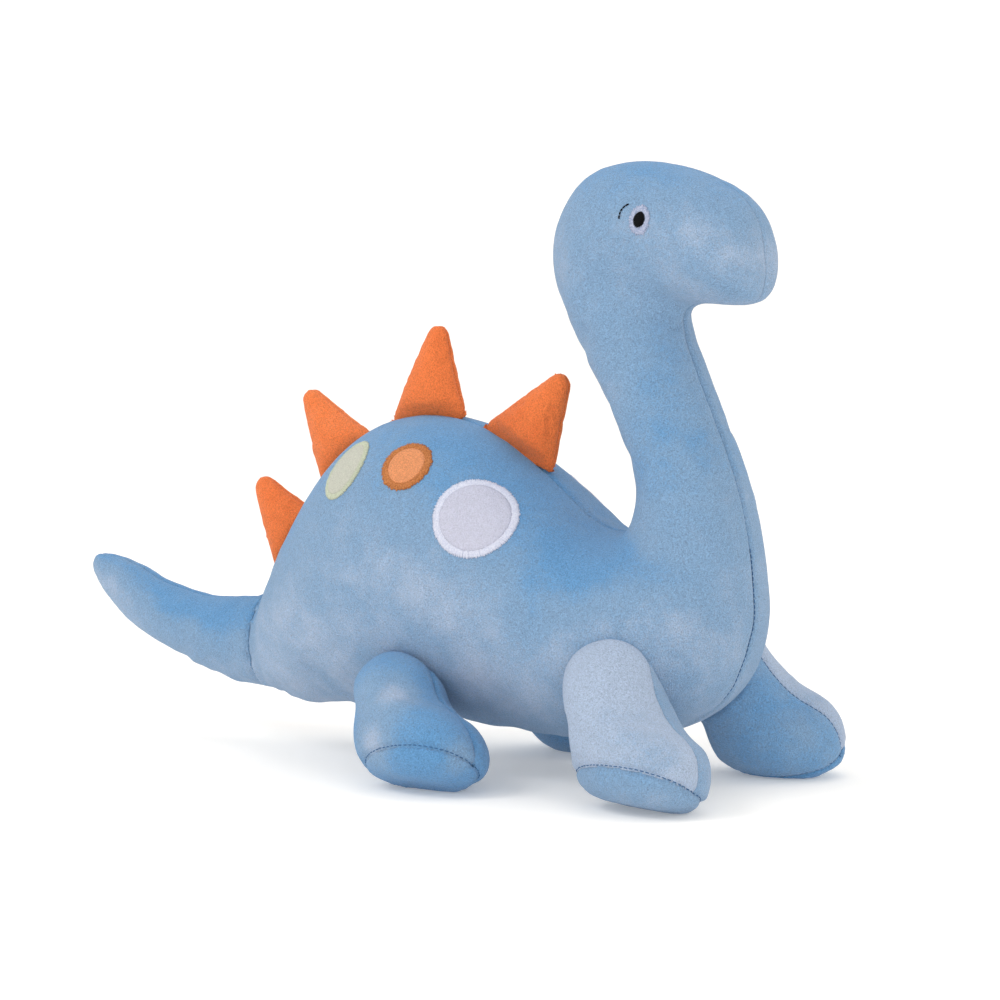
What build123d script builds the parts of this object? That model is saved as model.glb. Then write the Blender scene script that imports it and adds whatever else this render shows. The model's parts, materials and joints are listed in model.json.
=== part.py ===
"""Stuffed long-necked dinosaur with four back spikes, as the pieces it is sewn from.

The toy stands on its four feet. +X is the way it faces, +Z is up, and Y = 0 is its mirror plane,
where the two body panels meet. The origin is on the floor, midway along the toy's length.
Every member is a tube of ovals along a spine. A tube less the same tube made smaller is its fabric,
which is cut apart where the real panels meet. All lengths are millimetres.
"""

import math
import os

from build123d import *

# Fabric, stuffing and thread
FABRIC = 1.6  # short-pile fabric with its backing
FILL_GAP = 0.3  # between a fabric panel and the stuffing inside it
CLEAR = 0.5  # between a limb and the body it is sewn to
THINNEST = 1.0  # a tube's section stops being made below this half size
THREAD = 0.8  # thickness of satin stitch, and of seam thread

# Members, from one end to the other. A station is the section's centre (x, z), the angle of the
# spine there above +X in degrees, and the oval's half depth and half width.
TORSO = [
    (-88, 48, 0, 20, 20.5),
    (-78, 57, 0, 30, 31),
    (-53, 74, 0, 50, 44),
    (-25, 91, 0, 67, 53),
    (9, 99, 0, 75, 60),
    (49, 95, 0, 73, 61),
    (85, 83, 0, 63, 59),
    (120, 70.5, 0, 50.5, 58),
    (155, 73.5, 0, 48.5, 54),
    (177, 79, 0, 42, 44),
    (190, 84, 0, 32, 31),
    (199, 88, 0, 13, 12),
]
NECK = [
    (165, 82, 90, 36, 40),
    (171, 115, 92, 26.5, 34),
    (166, 146, 98, 24, 29),
    (151, 179, 105, 24, 27),
    (134, 213, 107, 27, 27),
    (125, 242, 100, 31, 29),
    (122, 262, 90, 29, 28),
]
HEAD = [
    (92, 252, 0, 13, 10),
    (98, 251, 0, 26, 18),
    (113, 255, 0, 34, 28),
    (135, 258, 0, 36, 32),
    (157, 261, 0, 31, 32),
    (174, 259, 0, 29, 31),
    (191, 254, 0, 25, 26),
    (200, 249, 0, 18, 18),
    (204, 244, 0, 7, 8),
]
TAIL = [
    (-88.4, 48, 0, 20, 20.5),
    (-106, 52, -8, 21.5, 20.5),
    (-137, 57, -16, 18.5, 18),
    (-169, 66, -24, 16, 15),
    (-191, 78, -30, 14, 11.5),
    (-207, 87, -34, 8.5, 7),
    (-214, 94, -36, 2.5, 2),
]

# Legs, right side; the left side mirrors them. Stations run up the leg from its sole, and here x is
# the way the toe points. A foot is set down on the floor, which flattens its sole.
FRONT_LEG = [
    (0, -13.5, 71, 20, 15),
    (0, -10, 71, 28, 20.5),
    (1.5, -4, 71, 33.5, 25),
    (3, 6, 71, 35, 27.5),
    (2.5, 17, 73, 33.5, 28),
    (-5, 30, 77, 26.5, 27),
    (-9, 43, 83, 23.5, 25.5),
    (-9.5, 57, 88, 21.5, 21.5),
    (-9, 66, 90, 15, 14),
    (-9, 71, 90, 5, 5),
]
HIND_LEG = [
    (-1.5, -12.5, 71, 22, 16),
    (0.5, -8.5, 71, 29.5, 21.5),
    (2.5, -2, 71, 35.5, 26),
    (3, 8, 71, 36, 28),
    (1, 20, 74, 31, 26.5),
    (-7, 31, 80, 24, 24),
    (-9.5, 43, 87, 21.5, 22),
    (-11, 53, 90, 15, 15),
    (-12, 60, 90, 5, 5),
]
# name, stations, sole's centre, hip, the toe's turn outwards in degrees, and the sole's seam: its
# height, and how steeply it falls towards the toe and towards the other leg
LEGS = [
    ("leg_front", FRONT_LEG, (174, -63, 14), (156, -42, 78), 8, (-4, 0.26, 0.25)),
    ("leg_hind", HIND_LEG, (60, -76, 14), (40, -50, 66), 8, (-6.5, 0.17, 0.2)),
]
LEG_SWING = (-15, -7.5, 0, 7.5, 15)  # degrees at which a leg's stuffing is kept clear of the body

# Back spikes, tail to neck: the two ends of the base on the back, then the tip
SPIKES = [
    ((-80, 84), (-57, 119), (-97, 138)),
    ((-51, 127), (-21, 161), (-65, 184)),
    ((-12, 167), (36, 173), (19, 218)),
    ((46, 168), (87, 147), (94, 194)),
]
SPIKE_FLOP = (-25, 0, 25)  # degrees at which a spike's stuffing is kept clear of the body
# share of the way up, half length along the back, half thickness
SPIKE_FORM = [
    (0.0, 24, 2.4),
    (0.1, 22, 5.5),
    (0.22, 19.5, 8.5),
    (0.5, 13.5, 8),
    (0.78, 8.8, 5.5),
    (0.94, 5.6, 3.4),
    (1.0, 2.2, 1.4),
]

# Where the stuffing bends: pivot (x, z), and the radius of its rounded end
NECK_PIVOT, NECK_LEAN, NECK_END = (159, 162), 101, 23.0
TAIL_PIVOT_X, TAIL_END = -112, 20.0

# Applique spots, right side: name, centre, outward direction, width, height, border width
SPOTS = [
    ("white", (74, -47.5, 127.5), (0.31, -0.82, 0.48), 42, 42, 4.2),
    ("orange", (31.4, -44.2, 150), (0.09, -0.81, 0.58), 26, 28, 4.4),
    ("cream", (-6, -41, 146), (-0.31, -0.78, 0.54), 25, 34, 3.2),
]
PATCH = 0.9  # thickness of a spot's fabric
EYE_CENTRE, EYE_OUT = (154.7, -31.4, 266.5), (0.01, -0.98, 0.2)
EYE_WHITE, PUPIL = (6.4, 7.2), (3.1, 3.7)  # half width and half height
BROW = [(-10.9, 0.4), (-10.2, 4.8), (-6.6, 7.6)]  # stitched arc behind the eye, from its centre
BROW_WIDTH = 1.3

CHEST_SEAM = [(195.6, 60.5), (199, 71.0), (201.3, 82.0), (201.4, 92.0), (199.5, 101.5)]  # x, z
STITCH_PITCH, STITCH_REACH = 2.5, 1.3  # along the seam, and out to each side of it
REACH = 1200  # larger than the toy, for cutting


def half_space(align_x=Align.CENTER, align_y=Align.CENTER, align_z=Align.CENTER):
    """Everything on one side of the origin, along the axis whose align isn't CENTER."""
    return Box(REACH, REACH, REACH, align=(align_x, align_y, align_z))


RIGHT = half_space(align_y=Align.MAX)
LEFT = half_space(align_y=Align.MIN)
BELOW = half_space(align_z=Align.MAX)


def oval(plane, depth, width):
    """An oval face on a plane whose local X points to the toy's left."""
    reach = width * 4 / 3
    right = Bezier((0, depth), (-reach, depth), (-reach, -depth), (0, -depth))
    left = Bezier((0, -depth), (reach, -depth), (reach, depth), (0, depth))
    return plane * make_face([right, left])


def tube(stations, inset=0.0):
    """A whole member, smaller all round by inset."""
    kept = [s for s in stations if min(s[3], s[4]) - inset >= THINNEST]
    last = len(kept) - 1 if len(kept) == len(stations) else None
    sections = []
    for n, (x, z, lean, depth, width) in enumerate(kept):
        along = Vector(math.cos(math.radians(lean)), 0, math.sin(math.radians(lean)))
        chord = Vector(stations[-1][0] - stations[0][0], 0, stations[-1][1] - stations[0][1])
        inward = along if along.dot(chord) > 0 else -along
        step = {0: inset, last: -inset}.get(n, 0.0)
        plane = Plane(Vector(x, 0, z) + inward * step, x_dir=(0, 1, 0), z_dir=along)
        sections.append(oval(plane, depth - inset, width - inset))
    return loft(sections)


def body(inset=0.0):
    """Torso, neck and head, which are cut from one panel a side."""
    return tube(TORSO, inset) + tube(NECK, inset) + tube(HEAD, inset)


def sided(pieces, name, shape):
    """Adds a piece of the right side, and its mirror image on the left side."""
    pieces[name.replace("SIDE", "right")] = shape
    pieces[name.replace("SIDE", "left")] = mirror(shape, about=Plane.XZ)


def body_pieces(pieces):
    """The two body panels, and the stuffing in two lengths that meet at a rounded joint in the neck."""
    sided(pieces, "body_panel_SIDE", (body() - body(FABRIC)) & RIGHT)
    fill = FABRIC + FILL_GAP
    x, z = NECK_PIVOT
    lean = math.radians(NECK_LEAN)
    across = Plane((x, 0, z), x_dir=(0, 1, 0), z_dir=(math.cos(lean), 0, math.sin(lean)))
    above = across * half_space(align_z=Align.MIN)
    hinge = Pos(x, 0, z) * Rot(90, 0, 0)
    neck = tube(NECK, fill)
    lower = neck - above - hinge * Cylinder(NECK_END + CLEAR, REACH)
    upper = (neck & above) + (neck & hinge * Cylinder(NECK_END, REACH))
    pieces["torso_stuffing"] = tube(TORSO, fill) + lower
    pieces["head_stuffing"] = tube(HEAD, fill) + upper


def tail_pieces(pieces):
    """The tail's two panels and its stuffing, whose front end is rounded so that it can swing."""
    sided(pieces, "tail_panel_SIDE", (tube(TAIL) - tube(TAIL, FABRIC)) & RIGHT)
    fill = tube(TAIL, FABRIC + FILL_GAP)
    behind = Pos(TAIL_PIVOT_X, 0, 0) * half_space(align_x=Align.MAX)
    pivot = Pos(TAIL_PIVOT_X, 0, 0) * Cylinder(TAIL_END, REACH)
    pieces["tail_stuffing"] = (fill & behind) + (fill & pivot)
    x, z, _, depth, width = TAIL[0]
    ring = Plane((x, 0, z), x_dir=(0, 1, 0), z_dir=(1, 0, 0)) * Ellipse(width + THREAD, depth + THREAD)
    path = ring.wire()
    start = Plane(path @ 0, z_dir=path % 0)
    pieces["tail_seam_thread"] = sweep(start * Circle(THREAD / 2), path)


def leg_frame(sole, hip, turn):
    """The leg's own frame: its X is where the toe points, and its Z runs up the leg."""
    up = (Vector(*hip) - Vector(*sole)).normalized()
    toe = Vector(math.cos(math.radians(turn)), -math.sin(math.radians(turn)), 0)
    return Plane(sole, x_dir=(toe - up * toe.dot(up)).normalized(), z_dir=up)


def leg_pieces(pieces, name, stations, sole, hip, turn, seam, torso):
    """A right leg's outer and inner panel, sole and stuffing, and the left leg's."""
    frame = leg_frame(sole, hip, turn)
    shell = (frame * tube(stations) - BELOW) - (frame * tube(stations, FABRIC) - Pos(0, 0, FABRIC) * BELOW)
    height, toe_slope, side_slope = seam
    below_seam = frame * Plane((0, 0, height), z_dir=(toe_slope, side_slope, 1)) * BELOW
    upper = shell - below_seam - torso
    sided(pieces, f"{name}_SIDE_outer_panel", upper & frame * RIGHT)
    sided(pieces, f"{name}_SIDE_inner_panel", upper & frame * LEFT)
    sided(pieces, f"{name}_SIDE_sole", shell & below_seam)
    fill = FABRIC + FILL_GAP
    stuffing = frame * tube(stations[1:], fill) - Pos(0, 0, fill) * BELOW - shell
    hinge = Axis((hip[0], 0, hip[2]), (0, 1, 0))
    for angle in LEG_SWING:
        stuffing = stuffing - torso.rotate(hinge, angle)
    sided(pieces, f"{name}_SIDE_stuffing", stuffing)


def spike_stations(low, high, tip):
    """A spike's stations, from the back's line up to its tip, which it leans towards."""
    base = Vector((low[0] + high[0]) / 2, 0, (low[1] + high[1]) / 2)
    rise = Vector(tip[0], 0, tip[1]) - base
    square = math.degrees(math.atan2(high[1] - low[1], high[0] - low[0])) + 90
    leaning = math.degrees(math.atan2(rise.Z, rise.X))
    stations = []
    for share, half_length, half_thickness in SPIKE_FORM:
        centre = base + rise * share
        lean = square + (leaning - square) * min(1.0, 1.5 * share)
        stations.append((centre.X, centre.Z, lean, half_length, half_thickness))
    return stations


def spike_pieces(pieces, number, ends, torso):
    """A spike's two panels and its stuffing. Its narrow lower edge stands on the back's seam."""
    stations = spike_stations(*ends)
    shell = (tube(stations) - tube(stations, FABRIC)) - torso
    pieces[f"spike_{number}_panel_right"] = shell & RIGHT
    pieces[f"spike_{number}_panel_left"] = shell & LEFT
    stuffing = tube(stations, FABRIC + FILL_GAP)
    low, high = ends[0], ends[1]
    foot = Axis((low[0], 0, low[1]), (high[0] - low[0], 0, high[1] - low[1]))
    for angle in SPIKE_FLOP:
        stuffing = stuffing - torso.rotate(foot, angle)
    pieces[f"spike_{number}_stuffing"] = stuffing


def on_surface(stations, centre, out, outline, thickness):
    """A thin piece with this outline, lying on a member's right side and seen along out."""
    plane = Plane(centre, x_dir=Vector(0, 0, 1).cross(Vector(*out)), z_dir=out)
    column = extrude(plane * outline, amount=15, both=True)
    return (column & tube(stations, -0.2 - thickness)) - tube(stations, -0.2)


def ellipse(half_width, half_height):
    """An ellipse that may be taller than it is wide."""
    return Rot(0, 0, 90) * Ellipse(half_height, half_width)


def spot_pieces(pieces):
    """Each spot's fabric and the satin stitch round it."""
    for name, centre, out, width, height, border in SPOTS:
        whole = ellipse(width / 2, height / 2)
        inside = ellipse(width / 2 - border, height / 2 - border)
        patch = on_surface(TORSO, centre, out, inside, PATCH)
        stitch = on_surface(TORSO, centre, out, whole - inside, PATCH + THREAD / 2)
        sided(pieces, f"spot_{name}_SIDE_patch", patch)
        sided(pieces, f"spot_{name}_SIDE_border", stitch)


def eye_pieces(pieces):
    """The embroidered eye: its white, its pupil and the arc stitched behind it."""
    white = ellipse(*EYE_WHITE)
    pupil = ellipse(*PUPIL)
    brow = SlotArc(ThreePointArc(*BROW), BROW_WIDTH)
    sided(pieces, "eye_white_SIDE", on_surface(HEAD, EYE_CENTRE, EYE_OUT, white - pupil, THREAD))
    sided(pieces, "eye_pupil_SIDE", on_surface(HEAD, EYE_CENTRE, EYE_OUT, pupil, THREAD))
    sided(pieces, "eye_brow_SIDE", on_surface(HEAD, EYE_CENTRE, EYE_OUT, brow, THREAD))


def chest_stitches(pieces):
    """The thread that shows along the seam down the chest, crossing it from side to side."""
    seam = Spline(*[(x, 0, z) for x, z in CHEST_SEAM])
    crossings = round(seam.length / STITCH_PITCH)
    points = []
    for n in range(crossings + 1):
        side = STITCH_REACH if n % 2 else -STITCH_REACH
        points.append(seam @ (n / crossings) + Vector(0, side, 0))
    path = Polyline(*points)
    profile = Plane(path @ 0, z_dir=path % 0) * Circle(THREAD / 2)
    thread = sweep(profile, path, transition=Transition.ROUND)
    pieces["chest_seam_stitches"] = thread - tube(TORSO, -0.1) - tube(NECK, -0.1)


def write(pieces):
    """One STEP file for each node."""
    os.makedirs("parts", exist_ok=True)
    for name, shape in pieces.items():
        export_step(shape, f"parts/{name}.step")


def main():
    pieces = {}
    torso = tube(TORSO, -CLEAR)
    body_pieces(pieces)
    tail_pieces(pieces)
    for leg in LEGS:
        leg_pieces(pieces, *leg, torso)
    for number, ends in enumerate(SPIKES, 1):
        spike_pieces(pieces, number, ends, torso)
    spot_pieces(pieces)
    eye_pieces(pieces)
    chest_stitches(pieces)
    write(pieces)


main()
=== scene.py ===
"""Looks of a stuffed long-necked dinosaur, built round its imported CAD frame.

The skin of the body and tail, of each leg and of each spike starts as a tube of ovals through the
CAD's own stations. It is blown up as cloth with its seams drawn in, and is then cut along them into
the panels that the toy is sewn from. Names that end in _MM, and the tables, are in millimetres;
everything that is made is in metres.
"""

import json
import math
import random

import bmesh
import bpy
import numpy as np
from mathutils import Matrix, Vector, noise
from mathutils.bvhtree import BVHTree

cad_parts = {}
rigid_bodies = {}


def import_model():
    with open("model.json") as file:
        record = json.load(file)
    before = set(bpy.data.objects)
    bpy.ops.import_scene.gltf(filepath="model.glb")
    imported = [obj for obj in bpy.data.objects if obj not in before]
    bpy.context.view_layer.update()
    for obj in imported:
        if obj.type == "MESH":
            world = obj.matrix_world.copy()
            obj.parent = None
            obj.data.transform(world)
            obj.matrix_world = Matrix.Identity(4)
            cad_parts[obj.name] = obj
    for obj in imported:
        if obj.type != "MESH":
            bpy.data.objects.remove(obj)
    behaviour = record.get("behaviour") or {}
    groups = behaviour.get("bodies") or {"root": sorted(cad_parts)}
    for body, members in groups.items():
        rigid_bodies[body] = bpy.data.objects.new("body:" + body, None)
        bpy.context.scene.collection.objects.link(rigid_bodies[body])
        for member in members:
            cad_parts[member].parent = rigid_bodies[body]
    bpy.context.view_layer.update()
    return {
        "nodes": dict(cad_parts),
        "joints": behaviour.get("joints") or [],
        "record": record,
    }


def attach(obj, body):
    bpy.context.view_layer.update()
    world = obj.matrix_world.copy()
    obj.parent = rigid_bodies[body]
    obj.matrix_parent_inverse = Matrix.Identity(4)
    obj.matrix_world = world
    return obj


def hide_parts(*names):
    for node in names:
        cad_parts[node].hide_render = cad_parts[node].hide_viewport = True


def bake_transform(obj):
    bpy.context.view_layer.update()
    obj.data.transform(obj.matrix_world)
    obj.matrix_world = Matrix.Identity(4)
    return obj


MM = 0.001
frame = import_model()

# Members: section's centre (x, z), the spine's angle above +X in degrees, half depth, half width
TORSO = [
    (-88, 53, 0, 25.5, 22),
    (-78, 58, 0, 31.5, 31),
    (-53, 74, 0, 50, 44),
    (-25, 91, 0, 67, 53),
    (9, 99, 0, 75, 60),
    (49, 95, 0, 73, 61),
    (85, 83, 0, 63, 59),
    (120, 70.5, 0, 50.5, 58),
    (155, 73.5, 0, 48.5, 54),
    (177, 79, 0, 42, 44),
    (190, 84, 0, 32, 31),
    (199, 88, 0, 13, 12),
]
NECK = [
    (165, 82, 90, 36, 40),
    (167.5, 115, 92, 30.5, 34),
    (166, 146, 98, 24, 29),
    (151, 179, 105, 24, 27),
    (134, 213, 107, 27, 27),
    (125, 242, 100, 31, 29),
    (122, 262, 90, 29, 28),
]
HEAD = [
    (92, 252, 0, 13, 10),
    (98, 251, 0, 26, 18),
    (113, 256, 0, 35.5, 28.5),
    (135, 259, 0, 37.5, 32),
    (157, 261.5, 0, 32, 32),
    (174, 259, 0, 29, 31),
    (191, 254, 0, 25, 26),
    (200, 249, 0, 18, 18),
    (204, 244, 0, 7, 8),
]
TAIL = [
    (-84, 47.5, 0, 19, 19.5),
    (-88.4, 53, 0, 25.5, 22),
    (-106, 53, -8, 22.5, 20.5),
    (-137, 57, -16, 18.5, 18),
    (-169, 66, -24, 16, 15),
    (-191, 78, -30, 14, 11.5),
    (-207, 87, -34, 8.5, 7),
    (-214, 94, -36, 2.5, 2),
]
# Legs: stations up the leg from its sole, where x is the way the toe points
FRONT_LEG = [
    (0, -13.5, 71, 20, 15),
    (0, -10, 71, 28, 20.5),
    (1.5, -4, 71, 33.5, 25),
    (3, 6, 71, 35, 27.5),
    (2.5, 17, 73, 33.5, 28),
    (-5, 30, 77, 26.5, 27),
    (-9, 43, 83, 23.5, 25.5),
    (-9.5, 57, 88, 21.5, 21.5),
    (-9, 66, 90, 15, 14),
    (-9, 71, 90, 5, 5),
]
HIND_LEG = [
    (-1.5, -12.5, 71, 22, 16),
    (0.5, -8.5, 71, 29.5, 21.5),
    (2.5, -2, 71, 35.5, 26),
    (3, 8, 71, 36, 28),
    (1, 20, 74, 31, 26.5),
    (-7, 31, 80, 24, 24),
    (-9.5, 43, 87, 21.5, 22),
    (-11, 53, 90, 15, 15),
    (-12, 60, 90, 5, 5),
]
# name, stations, sole's centre, hip, the toe's turn outwards in degrees, and the sole's seam: its
# height, and how steeply it falls towards the toe and towards the other leg
LEGS = [
    ("leg_front", FRONT_LEG, (174, -63, 14), (156, -42, 78), 8, (-4, 0.26, 0.25)),
    ("leg_hind", HIND_LEG, (60, -76, 14), (40, -50, 66), 8, (-6.5, 0.17, 0.2)),
]
# Spikes, tail to neck: the two ends of the base on the back, then the tip
SPIKES = [
    ((-80, 84), (-57, 119), (-97, 138)),
    ((-51, 127), (-21, 161), (-65, 184)),
    ((-12, 167), (36, 173), (19, 218)),
    ((46, 168), (87, 147), (94, 194)),
]
# share of the way up, half length along the back, half thickness
SPIKE_FORM = [
    (0.0, 24, 2.4),
    (0.1, 22, 5.5),
    (0.22, 19.5, 8.5),
    (0.5, 13.5, 8),
    (0.78, 8.8, 5.5),
    (0.94, 5.6, 3.4),
    (1.0, 2.2, 1.4),
]
# The ring where the tail is sewn on. Its fabric is drawn in up to this height.
TAIL_SEAM_X_MM, TAIL_SEAM_TOP_MM = -88.2, 90
# The chest's stitches show in front of this x, between these heights
CHEST_X_MM, CHEST_LOW_MM, CHEST_HIGH_MM = 170, 44, 115
# The middle seam gets flatter from here up, over the second length
HEAD_Z_MM, HEAD_FADE_MM = 205, 30

# Spots on the right side: name, centre, outward direction, width, height, border width
SPOTS = [
    ("white", (74, -47.5, 127.5), (0.31, -0.82, 0.48), 42, 42, 4.2),
    ("orange", (31.4, -44.2, 150), (0.09, -0.81, 0.58), 26, 28, 4.4),
    ("cream", (-6, -41, 146), (-0.31, -0.78, 0.54), 25, 34, 3.2),
]
EYE_CENTRE, EYE_OUT = (154.7, -31.4, 266.5), (0.01, -0.98, 0.2)
EYE_WHITE, PUPIL = (5.4, 7.0), (2.9, 3.5)
# The arc behind the eye: its two ends and the point it passes, across and up from the eye's centre
BROW, BROW_STITCHES = [(-10.9, 0.4), (-10.2, 4.8), (-6.6, 7.6)], 5

# How dark the pile is painted: 1 is darkest and -1 palest. Where the fabric faces up it is painted darker,
# partly for the lie of the pile and partly as painted shade against the light from above.
BODY_NAP, UPWARD_NAP_AND_SHADE = -0.35, 1.15
# Patches on the body and tail: place, radius, strength. Most are the lie of the pile; the last two, pale and
# low on the torso, are painted light on the shaded belly and lower side.
NAP_AND_PAINTED_LIGHT = [
    ((115, -24, 257), 18, 0.2),
    ((140, -25, 216), 24, 0.3),
    ((155, -26, 182), 18, 0.3),
    ((160, -26, 150), 25, 0.9),
    ((150, -24, 150), 12, 0.4),
    ((180, -30, 116), 20, 0.3),
    ((134, -40, 107), 22, 0.8),
    ((60, -15, 155), 36, 0.25),
    ((-45, -30, 120), 20, 0.4),
    ((-85, -18, 66), 12, 0.3),
    ((-112, -12, 66), 18, 0.8),
    ((-145, -8, 74), 15, 0.7),
    # Painted light: paler low on the torso, where the belly and the lower side are in shade.
    ((90, -50, 50), 24, -0.5),
    ((10, -60, 60), 30, -0.2),
]
# The same for each leg's outer panel, inner panel and sole
LEG_NAP = {
    "leg_front_right": (-1.2, -0.4, -0.1),
    "leg_front_left": (-1.1, 0.45, 1.0),
    "leg_hind_right": (0.85, 0.9, 1.2),
    "leg_hind_left": (0.5, 0.6, 0.9),
}
LEG_PATCHES = [
    ((57, -86, 42), 10, -1.5),
    ((44, -80, 44), 11, -1.6),
    ((50, -98, 24), 13, -1.7),
    ((94, -88, 18), 9, -1.2),
    ((196, -88, 30), 12, 0.5),
    ((200, 40, 28), 11, -0.5),
]

FABRIC_MM = 1.2
STITCH_PITCH_MM, STITCH_MM, THREAD_MM = 2.6, 1.9, 0.26
SNAP_MM = 0.25  # fabric nearer to a cut than this moves onto it, so that no thin slivers are left
# Cuts beside a seam, so that the fabric can turn down into it
SEAM_CUTS_MM = (-3.2, -1.7, -0.8, 0.0, 0.8, 1.7, 3.2)
BODY_VOXEL_MM, LEG_VOXEL_MM, FILL_VOXEL_MM = 4.0, 3.2, 5.0
SIM_FRAMES = 20
# How far the legs' middle seams are drawn in. The near front leg's hardly shows.
LEG_SEAM_MM, FLAT_LEG_SEAM_MM = 1.2, 0.45
# Fabric this near to a seam's plane is on it. A line whose ends are this near is a ring.
ON_SEAM_MM, RING_GAP_MM = 0.05, 4.05
SEAM_REACH_MM, PUCKER_REACH_MM = 16, 5.5  # how far a seam and its puckers reach
PUCKER_MM = (5.0, 2.6)  # length of the large and of the small puckers along a seam
INWARD_MM = 0.6  # as far as the simulation may take fabric towards the stuffing
# How much smaller the stuffing is round the neck's joint, leaving room under the fabric there
NECK_ROOM_MM, NECK_ROOM_REACH_MM = 3.5, 45
# Where a leg's fabric comes this near to the body, above this height, it is drawn in
SEWN_GAP_MM, SEWN_ABOVE_MM, SEWN_DEPTH_MM, SEWN_REACH_MM = 6, 20, 1.6, 2.0
STANDING_MM = 0.4  # height at which a sole starts to press flat
INSIDE_MM = 4  # leg fabric further than this inside the body is left out

# Name, place, size and power of each light, in metres and watts. They point at LIGHTS_AIM.
LIGHTS = [
    ("key", (-0.9, -1.6, 1.9), 1.1, 14.5),
    ("fill", (1.7, -1.4, 0.6), 1.3, 6.5),
    ("top", (0.1, 0.5, 2.3), 1.6, 8),
]
LIGHTS_AIM, WORLD_STRENGTH = (0, 0, 0.1), 0.73
CAMERA_MM, CAMERA_AIM_MM = (864, -1158, 231.1), (60.2, -7.2, 132.7)
LENS_MM, SENSOR_MM = 104.15, 36
FLOOR_FLAT_M, FLOOR_BEND_M, FLOOR_TOP_M = 2.6, 1.2, 3.2

ORIGIN = Vector()
X_AXIS, Y_AXIS, Z_AXIS = Vector((1, 0, 0)), Vector((0, 1, 0)), Vector((0, 0, 1))
scene = bpy.context.scene
rng = random.Random(7)


# ---------------------------------------------------------------- meshes


def make(name, verts, faces):
    """A new mesh object in the scene."""
    mesh = bpy.data.meshes.new(name)
    mesh.from_pydata([tuple(v) for v in verts], [], faces)
    obj = bpy.data.objects.new(name, mesh)
    scene.collection.objects.link(obj)
    return obj


def coordinates(obj):
    """An object's vertices as an array."""
    co = np.empty(len(obj.data.vertices) * 3, np.float32)
    obj.data.vertices.foreach_get("co", co)
    return co.reshape(-1, 3).astype(float)


def place(obj, co):
    """Moves an object's vertices to these places."""
    obj.data.vertices.foreach_set("co", co.astype(np.float32).ravel())
    obj.data.update()


def apply_modifiers(obj):
    """Makes an object's modifiers part of its mesh."""
    graph = bpy.context.evaluated_depsgraph_get()
    mesh = bpy.data.meshes.new_from_object(obj.evaluated_get(graph))
    obj.modifiers.clear()
    old, obj.data = obj.data, mesh
    bpy.data.meshes.remove(old)


def refined(stations, steps):
    """The stations with others between them, on a smooth curve through them all."""
    p = np.array(stations, float)
    p = np.vstack([2 * p[0] - p[1], p, 2 * p[-1] - p[-2]])
    rows = []
    for a, b, c, d in zip(p, p[1:], p[2:], p[3:]):
        for t in np.arange(steps) / steps:
            turn = (c - a) * t + (2 * a - 5 * b + 4 * c - d) * t**2 + (3 * b - a - 3 * c + d) * t**3
            rows.append(b + turn / 2)
    rows.append(p[-2])
    return np.array(rows)


def tube(stations, steps=3, count=40):
    """Vertices and faces of a closed tube of ovals."""
    t = np.arange(count // 2) / (count // 2)
    across = -4 * t * (1 - t)
    up = (1 - t) ** 3 + 3 * (1 - t) ** 2 * t - 3 * (1 - t) * t**2 - t**3
    across, up = np.concatenate([across, -across]), np.concatenate([up, -up])
    verts, faces = [], []
    for x, z, lean, depth, width in refined(stations, steps):
        lean = math.radians(lean)
        for a, u in zip(across, up):
            verts.append((x - math.sin(lean) * u * depth, a * width, z + math.cos(lean) * u * depth))
    rings = len(verts) // count
    for r in range(rings - 1):
        for k in range(count):
            n = (k + 1) % count
            faces.append((r * count + k, r * count + n, (r + 1) * count + n, (r + 1) * count + k))
    faces.append(tuple(range(count)))
    faces.append(tuple(range((rings - 1) * count, rings * count)))
    return np.array(verts) * MM, faces


def joined(parts):
    """Several (vertices, faces) as one."""
    verts, faces, start = [], [], 0
    for v, f in parts:
        verts.append(np.array(v))
        faces += [tuple(i + start for i in face) for face in f]
        start += len(v)
    return np.vstack(verts), faces


def remeshed(obj, voxel_mm, rounds):
    """Turns an object's closed tubes into one even skin, and evens out its creases."""
    for poly in obj.data.polygons:
        poly.use_smooth = True
    modifier = obj.modifiers.new("even", "REMESH")
    modifier.mode = "VOXEL"
    modifier.voxel_size = voxel_mm * MM
    fair = obj.modifiers.new("fair", "SMOOTH")
    fair.factor, fair.iterations = 0.5, rounds
    apply_modifiers(obj)


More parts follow.
